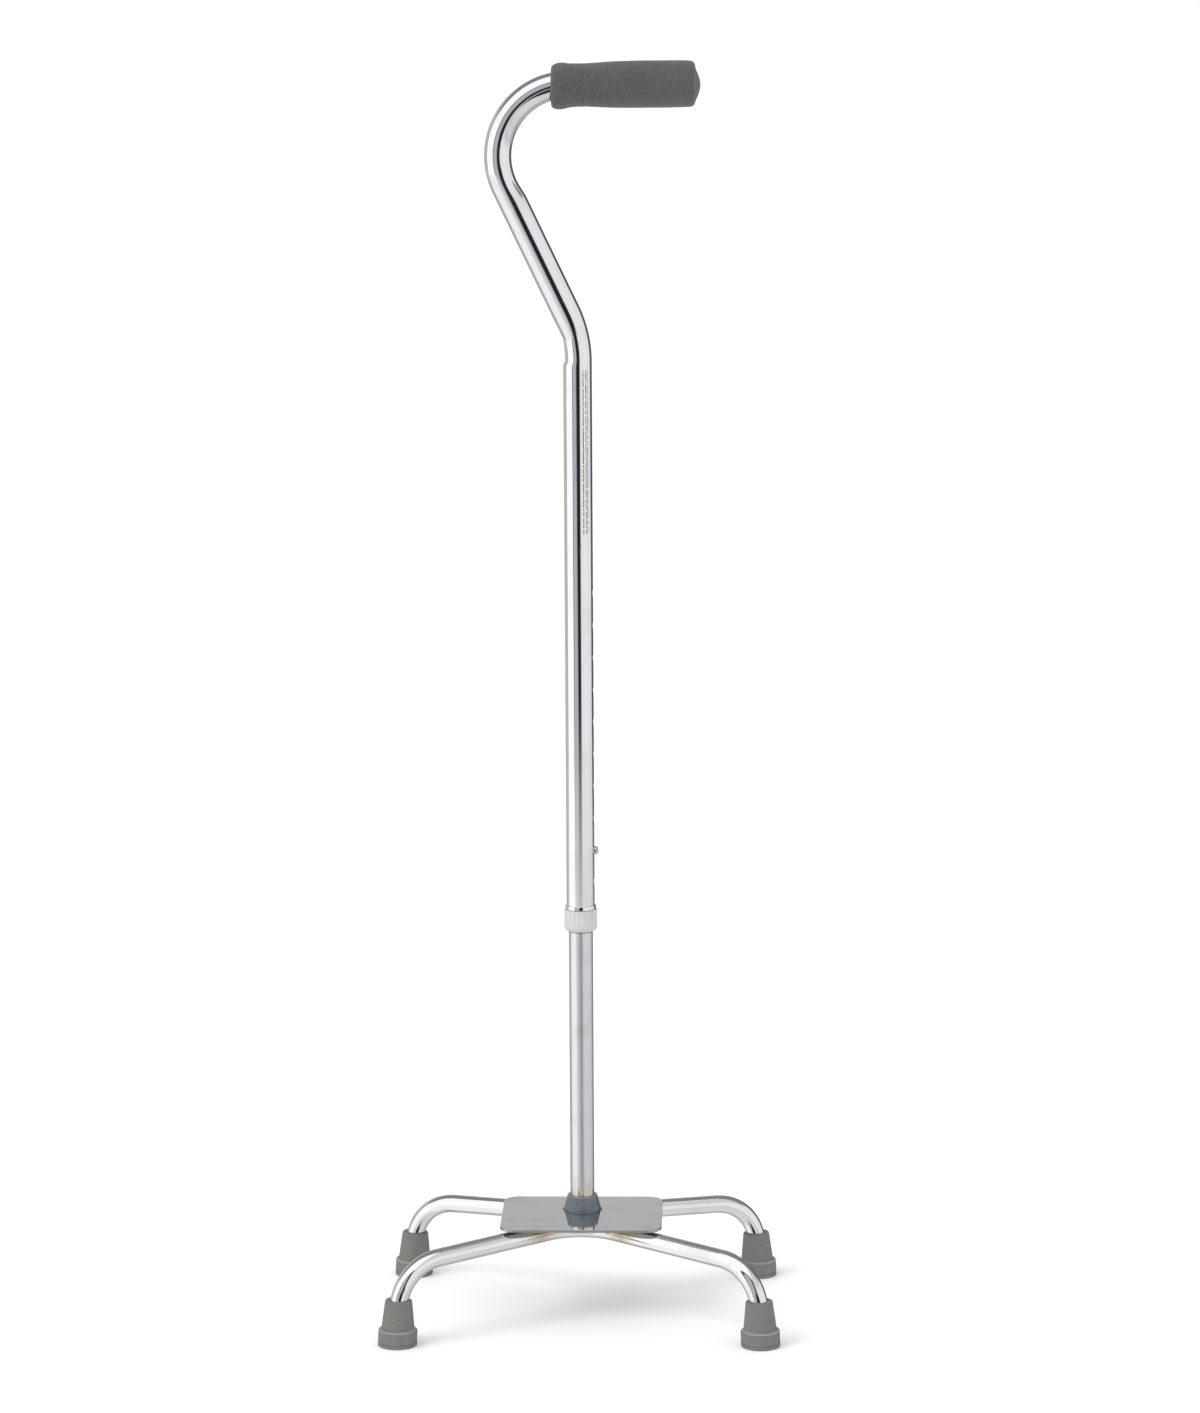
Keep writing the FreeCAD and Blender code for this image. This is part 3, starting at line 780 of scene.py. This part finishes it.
def holed_wall(shell, radius, flip):
    """The upright run with its row of holes, as one skin of the tube."""

    def lay(angle, height, closed=True):
        angle, height = np.broadcast_arrays(angle, height)
        out = np.stack([np.cos(angle), np.sin(angle), 0 * height], axis=-1)
        places = out * radius
        places[..., 1] += SHAFT_Y
        places[..., 2] = height
        shell.grid(places, out, closed, flip)

    turn = full_turn(COLUMNS)
    below = UPPER_END
    for middle in HOLE_ROW:
        levels, border, around = hole_border(middle)
        lay(*np.meshgrid(turn, [below, levels[0]]))
        lay(*np.meshgrid(turn[WINDOW:COLUMNS - WINDOW + 1], levels), False)
        across, up = HOLE_R * np.cos(around), HOLE_R * np.sin(around)
        rim = np.stack([np.arcsin(across / radius), middle + up], axis=-1)
        rings = np.array([border + (rim - border) * t for t in (0, 0.5, 0.85, 1)])
        # a hole's rings run inward, so the grid's own order already faces out
        lay(rings[..., 0], rings[..., 1])
        below = levels[-1]
    lay(*np.meshgrid(turn, [below, ROW_TOP]))


def hole_walls(shell):
    """The thickness of the tube's wall, seen inside each hole."""
    for middle in HOLE_ROW:
        _, _, around = hole_border(middle)
        across, up = HOLE_R * np.cos(around), HOLE_R * np.sin(around)
        rings = [np.stack([np.sqrt(r * r - across ** 2), SHAFT_Y + across, middle + up], axis=-1)
                 for r in (UPPER_R, UPPER_BORE)]
        inward = np.stack([0 * up, -np.cos(around), -np.sin(around)], axis=-1)
        shell.grid(np.array(rings), np.array([inward, inward]))


def upper_tube():
    """The bent upper tube: ten holes, and the flats that the bending tool leaves inside each bend."""
    shell = Shell()
    outer = tube_grid(UPPER_R, 2.0 * MM, 1.0)
    inner = tube_grid(UPPER_BORE, 8.0 * MM, 0.95)
    shell.grid(outer, grid_normals(outer))
    shell.grid(inner, grid_normals(inner), flip=True)
    holed_wall(shell, UPPER_R, False)
    holed_wall(shell, UPPER_BORE, True)
    hole_walls(shell)
    turn = full_turn(COLUMNS)
    ends = [np.stack([r * np.cos(turn), SHAFT_Y + r * np.sin(turn), np.full(COLUMNS, UPPER_END)], axis=-1)
            for r in (UPPER_BORE, UPPER_R)]
    shell.grid(np.array(ends), np.tile([0, 0, -1.0], (2, COLUMNS, 1)))
    shell.grid(np.array([outer[-1], inner[-1]]), np.tile([1.0, 0, 0], (2, COLUMNS, 1)))
    tube = shell.finish("upper_tube_plated", bright_chrome("upper_chrome", printed=True))
    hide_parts("upper_tube")
    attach(tube, "upper")


# ---- foam grip
# Half-section of the sleeve: distance along the handle and from its middle, in millimetres.
GRIP_SECTION = [
    (88.3, 0.02), (88.3, 11.25), (80, 11.25), (-14.5, 11.25), (-17.6, 11.5), (-18.7, 12.4), (-18.9, 14.6),
    (-17.7, 16.4), (-15.0, 17.5), (-12.0, 17.9), (-9.0, 17.6), (-5.5, 16.85), (0, 16.45), (7, 16.45),
    (16, 16.9), (27, 17.6), (44, 18.0), (70, 18.0), (82, 17.8), (87.2, 17.6), (89.2, 17.1), (90.5, 15.9),
    (91.1, 13.9), (91.6, 11.6), (93.3, 8.0), (94.6, 4.0), (95.1, 0.02),
]
# The sleeve sits a little askew on the handle: rise of its middle along it, in millimetres.
GRIP_RISE = ([-19, -12, 0, 50, 90], [-0.9, -0.5, 0.2, 0.65, 0.85])


GRIP_COLUMNS = 128
BORE_ROWS = 14
GRIP_STEP = 0.55                  # between two rings of the outside
ROUNDING = 4                      # rings each side over which the section's corners are eased
BEND_ENDS = -6.1                  # along the sleeve, where the handle's bend goes over into its straight
BEND_R = TOP_BEND_R / MM
DENT_WAVES = (95, 330)            # in a metre
DENT_DEPTH = 0.12
SQUEEZE = 0.10


def foam_grip():
    """Foam sleeve, moulded shut at its outer end, with the shallow unevenness of squeezed foam."""
    section = np.array(GRIP_SECTION)
    lengths = np.r_[0, np.cumsum(np.hypot(*np.diff(section, axis=0).T))]
    bore = lengths[3]
    stops = np.r_[np.linspace(0, bore, BORE_ROWS)[:-1], np.arange(bore, lengths[-1], GRIP_STEP), lengths[-1]]
    along = np.interp(stops, lengths, section[:, 0])
    reach = np.interp(stops, lengths, section[:, 1])
    soft = np.exp(-0.5 * (np.arange(-ROUNDING, ROUNDING + 1) / 1.5) ** 2)
    soft /= soft.sum()
    for values in (along, reach):
        eased = np.convolve(np.pad(values, ROUNDING, mode="edge"), soft, mode="valid")
        values[BORE_ROWS:-3] = eased[BORE_ROWS:-3]
    sag = BEND_R - np.sqrt(BEND_R ** 2 - np.minimum(0, along - BEND_ENDS) ** 2)
    outside = np.clip((reach - 11.6) / 3.0, 0, 1)
    rise = np.interp(along, *GRIP_RISE) * outside - sag * (1 - outside)
    rise[stops < bore] = 0
    rise[-1] = rise[-2]
    turn = full_turn(GRIP_COLUMNS)
    across, up = np.cos(turn), np.sin(turn)
    grid = np.stack([np.broadcast_to(along[:, None], (len(along), GRIP_COLUMNS)), reach[:, None] * across,
                     reach[:, None] * up + rise[:, None]], axis=-1) * MM
    grid += np.array([0, SHAFT_Y, HANDLE_Z])
    for i in range(BORE_ROWS, len(along) - 2):
        for j in range(GRIP_COLUMNS):
            wide, narrow = (noise.noise(Vector(grid[i, j]) * waves) for waves in DENT_WAVES)
            push = (DENT_DEPTH * (wide + 0.4 * narrow) - SQUEEZE) * outside[i] * MM
            grid[i, j] += push * np.array([0, across[j], up[j]])
    shell = Shell()
    shell.grid(grid, grid_normals(grid))
    shell.cap(grid[0], np.array([-1.0, 0, 0]))
    shell.cap(grid[-1], np.array([1.0, 0, 0]))
    grip = shell.finish("foam_grip_sleeve", charcoal_foam())
    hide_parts("foam_grip")
    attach(grip, "upper")


# ---- lock ferrule and nut
def around_shaft(section, columns, ribs=None):
    """Rings round the shaft from a closed section in millimetres. ribs gives a cut depth for each ring."""
    turn = full_turn(columns)
    reach = np.array(section)[:, :1] * np.ones(columns)
    if ribs is not None:
        reach = reach - np.outer(ribs, (0.5 + 0.5 * np.cos(NUT_RIBS * turn)) ** 3)
    height = np.array(section)[:, 1:] * np.ones(columns)
    grid = np.stack([reach * np.cos(turn), reach * np.sin(turn), height], axis=-1) * MM
    return grid + np.array([0, SHAFT_Y, 0])


def turned_skin(name, material, section, columns, node, body, ribs=None):
    """A closed ring-shaped piece. The section runs down the bore and up the outside."""
    grid = around_shaft(section + section[:1], columns, ribs)
    shell = Shell()
    shell.grid(grid, grid_normals(grid))
    piece = shell.finish(name, material)
    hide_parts(node)
    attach(piece, body)


def rounded_section(corners, radii, step=0.12):
    """A closed section with its corners rounded, as points about a step apart."""
    points = []
    count = len(corners)
    for i in range(count):
        here, last, following = (Vector(corners[k % count]) for k in (i, i - 1, i + 1))
        back, ahead = (last - here).normalized(), (following - here).normalized()
        if radii[i] == 0:
            points += [here + back * 0.02, here + ahead * 0.02]
            continue
        half = back.angle(ahead) / 2
        start, end = here + back * radii[i] / math.tan(half), here + ahead * radii[i] / math.tan(half)
        middle = here + (back + ahead).normalized() * radii[i] / math.sin(half)
        arms = start - middle, end - middle
        turns = max(2, int(radii[i] * arms[0].angle(arms[1]) / step))
        for k in range(turns + 1):
            arm = arms[0].lerp(arms[1], k / turns)
            points.append(middle + arm.normalized() * radii[i])
    return [(p.x, p.y) for p in points]


def lock_ferrule():
    """Chrome ring and spigot. Its face leans a little, so it shows the dark of the studio as a block."""
    corners = [(9.85, 322.3), (9.85, 310.7), (10.8, 310.7), (10.8, 321.3), (12.1, 321.3), (12.0, 324.5),
               (11.1, 324.5), (11.1, 322.3)]
    section = rounded_section(corners, [0, 0, 0, 0, 0.3, 0.5, 0, 0])
    turned_skin("lock_ferrule_ring", bright_chrome("ferrule_chrome"), section, 128, "lock_ferrule", "upper")


# Ribs of the nut in millimetres. Only its outer skin has them.
RIB_DEPTH, RIB_FOOT, RIB_HEAD, RIBBED_FROM_R = 0.55, 308.2, 320.0, 12


def lock_nut(material):
    """Nylon nut: soft upright ribs between a plain rim above and a chamfered nose below."""
    corners = [(10.9, 321.0), (10.9, 307.9), (9.83, 305.1), (9.83, 304.2), (11.6, 304.2), (13.0, 306.6),
               (13.05, 321.0)]
    section = rounded_section(corners, [0, 0, 0, 0.25, 0.6, 1.2, 0.8])
    fine = []
    for (r, z), (r2, z2) in zip(section, section[1:] + section[:1]):
        fine.append((r, z))
        if min(r, r2) > RIBBED_FROM_R and abs(z2 - z) > 3:
            fine += [(r + (r2 - r) * t, z + (z2 - z) * t) for t in np.linspace(0, 1, 26)[1:-1]]
    ribs = [RIB_DEPTH * min(1, max(0, (z - RIB_FOOT) / 0.9)) * min(1, max(0, (RIB_HEAD - z) / 0.7))
            if r > RIBBED_FROM_R else 0 for r, z in fine + fine[:1]]
    turned_skin("lock_nut_ribbed", material, fine, 320, "lock_nut", "lock_nut", ribs)


# ---- base plate
def base_plate():
    """Steel plate with its sheared edges rounded over and the hole for the bolt."""
    half, middle = np.array([63.5, 47.75]) * MM, np.array([0, 5.3]) * MM
    corner, edge, hole_r = 12.0 * MM, 0.45 * MM, 4.5 * MM
    loop, outward = [], []
    for quarter, sign in enumerate(((1, -1), (1, 1), (-1, 1), (-1, -1))):
        for i in range(13):
            angle = math.radians(-90 + 90 * quarter + 90 * i / 12)
            out = np.array([math.cos(angle), math.sin(angle)])
            loop.append(middle + (half - corner) * sign + out * corner)
            outward.append(out)
    loop, outward = np.array(loop), np.array(outward)
    count = len(loop)
    towards = np.arctan2(loop[:, 1] - SHAFT_Y, loop[:, 0])
    bore = hole_r * np.stack([np.cos(towards), np.sin(towards)], axis=-1) + np.array([0, SHAFT_Y])

    def level(flat, height, lean):
        places = np.column_stack([flat, np.full(count, height)])
        facing = np.column_stack([outward * math.cos(lean), np.full(count, math.sin(lean))])
        return places, facing

    rows = [level(bore, PLATE_BOTTOM, -math.pi / 2)]
    for anchor, start in ((PLATE_BOTTOM + edge, -90), (PLATE_TOP - edge, 0)):
        for k in range(5):
            lean = math.radians(start + 22.5 * k)
            flat = loop - outward * edge * (1 - math.cos(lean))
            rows.append(level(flat, anchor + edge * math.sin(lean), lean))
    rows.append(level(bore, PLATE_TOP, math.pi / 2))
    shell = Shell()
    places, facing = zip(*rows)
    shell.grid(np.array(places), np.array(facing))
    wall = np.array([level(bore, PLATE_TOP, 0)[0], level(bore, PLATE_BOTTOM, 0)[0]])
    inward = np.column_stack([-np.cos(towards), -np.sin(towards), np.zeros(count)])
    shell.grid(wall, np.array([inward, inward]))
    plate = shell.finish("base_plate_plated", plate_plating())
    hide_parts("base_plate")
    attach(plate, "base")


# ---- weld beads
def ripple_tree():
    """Geometry nodes that lay overlapping ripples of weld metal along a line."""
    tree = bpy.data.node_groups.new("weld_ripples", "GeometryNodeTree")
    sockets = {}
    for label, kind in (("Start", "Vector"), ("End", "Vector"), ("Bead Radius", "Float"),
                        ("Ripple Pitch", "Float"), ("Seed", "Int"), ("Metal", "Material")):
        socket = tree.interface.new_socket(label, in_out="INPUT", socket_type="NodeSocket" + kind)
        sockets[label] = socket.identifier
    tree.interface.new_socket("Bead", in_out="OUTPUT", socket_type="NodeSocketGeometry")
    given = tree.nodes.new("NodeGroupInput").outputs
    line = add(tree, "GeometryNodeCurvePrimitiveLine", {"Start": given["Start"], "End": given["End"]})
    points = add(tree, "GeometryNodeCurveToPoints",
                 {"Curve": line.outputs["Curve"], "Length": given["Ripple Pitch"]}, mode="LENGTH")
    drop = add(tree, "GeometryNodeMeshUVSphere", {"Segments": 16, "Rings": 10, "Radius": given["Bead Radius"]})
    size = add(tree, "FunctionNodeRandomValue", {2: 0.88, 3: 1.04, "Seed": given["Seed"]}, data_type="FLOAT")
    wide = add(tree, "ShaderNodeCombineXYZ", {"X": size.outputs[1], "Y": size.outputs[1], "Z": 0.62})
    placed = add(tree, "GeometryNodeInstanceOnPoints", {
        "Points": points.outputs["Points"], "Instance": drop.outputs["Mesh"],
        "Rotation": points.outputs["Rotation"], "Scale": wide.outputs[0]})
    real = add(tree, "GeometryNodeRealizeInstances", {"Geometry": placed.outputs["Instances"]})
    painted = add(tree, "GeometryNodeSetMaterial",
                  {"Geometry": real.outputs["Geometry"], "Material": given["Metal"]})
    add(tree, "NodeGroupOutput", {"Bead": painted.outputs["Geometry"]})
    return tree, sockets


# Beads in millimetres. Each leg tube meets the plate near its bend, at corner_y, and runs to its foot.
BEAD_LENGTH, BEAD_R, BEAD_PITCH, BEAD_ASIDE, BEAD_DROP = 12, 2.0, 1.1, 5.2, 1.3
FOOT_X, FOOT_Y = 140.5, 93.75
# For the front and the rear tube: which end, corner_y, and how far along a bead starts.
BEAD_RUNS = ((-1, 5.0, 35.5), (1, 35.5, 13.5))


def weld_beads():
    """Eight rippled beads that join the two leg tubes to the plate."""
    tree, sockets = ripple_tree()
    metal = weld_metal()
    places, faces = [], []
    for end, corner_y, first in BEAD_RUNS:
        for side in (-1, 1):
            run = Vector((side * FOOT_X, end * FOOT_Y - corner_y, 0)).normalized()
            across = Vector((-run.y, run.x, 0))
            for offset in (-BEAD_ASIDE, BEAD_ASIDE):
                start = Vector((0, corner_y, PLATE_BOTTOM / MM - BEAD_DROP)) + run * first + across * offset
                carrier = add_object("bead_line", bpy.data.meshes.new("bead_line"))
                modifier = carrier.modifiers.new("ripples", "NODES")
                modifier.node_group = tree
                values = {"Start": start * MM, "End": (start + run * BEAD_LENGTH) * MM,
                          "Bead Radius": BEAD_R * MM, "Ripple Pitch": BEAD_PITCH * MM,
                          "Seed": len(places), "Metal": metal}
                for label, value in values.items():
                    modifier[sockets[label]] = value
                graph = bpy.context.evaluated_depsgraph_get()
                bead = bpy.data.meshes.new_from_object(carrier.evaluated_get(graph))
                base = len(places)
                places.extend(tuple(v.co) for v in bead.vertices)
                faces.extend([base + i for i in polygon.vertices] for polygon in bead.polygons)
                bpy.data.objects.remove(carrier)
    beads = add_smooth("weld_ripples", places, faces, metal)
    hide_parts("weld_beads")
    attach(beads, "base")


# ---- finishes of the CAD nodes
def nut_nylon():
    return moulded_plastic("nut_nylon", (0.56, 0.56, 0.565), grey(0.62), 0.34, Subsurface_Weight=0.15,
                           Subsurface_Scale=0.002)


def finish_cad_nodes():
    """A material for every CAD node that stays visible. Small steel parts share one."""
    leg_chrome = bright_chrome("leg_chrome", welded=True)
    looks = {
        "front_leg_tube": leg_chrome, "rear_leg_tube": leg_chrome,
        "lower_tube": satin_plating(),
        "shaft_boot": moulded_plastic("boot_plastic", (0.112, 0.134, 0.160), (0.138, 0.160, 0.188), 0.20,
                                      BOOT_LIP),
        "compression_ring": nut_nylon(),
        "snap_button": turned_steel("button_steel", grey(0.58), grey(0.74), 0.16),
        "button_spring": turned_steel("spring_steel", (0.34, 0.36, 0.42), (0.50, 0.50, 0.52), 0.28),
        "handle_end_plug": moulded_plastic("plug_plastic", (0.022, 0.022, 0.024), (0.034, 0.034, 0.036), 0.42),
    }
    rubber = tip_rubber()
    zinc = zinc_plate()
    for name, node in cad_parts.items():
        look = looks.get(name, rubber if name.startswith("tip_") and "washer" not in name else zinc)
        node.data.materials.clear()
        node.data.materials.append(look)


def flexing_spring():
    """A copy of the V spring, with its doubled points merged and smooth shading, put in place of the CAD node.
    """
    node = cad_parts["button_spring"]
    mesh = node.data.copy()
    mesh.transform(node.matrix_world)
    work = bmesh.new()
    work.from_mesh(mesh)
    bmesh.ops.remove_doubles(work, verts=work.verts, dist=1e-6)
    work.to_mesh(mesh)
    work.free()
    mesh.shade_smooth()
    mesh.set_sharp_from_angle(angle=math.radians(35))
    leaf = add_object("button_spring_leaf", mesh)
    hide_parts("button_spring")
    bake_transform(leaf)


make_camera()
make_studio()
finish_cad_nodes()
flexing_spring()
upper_tube()
foam_grip()
lock_ferrule()
lock_nut(nut_nylon())
base_plate()
weld_beads()
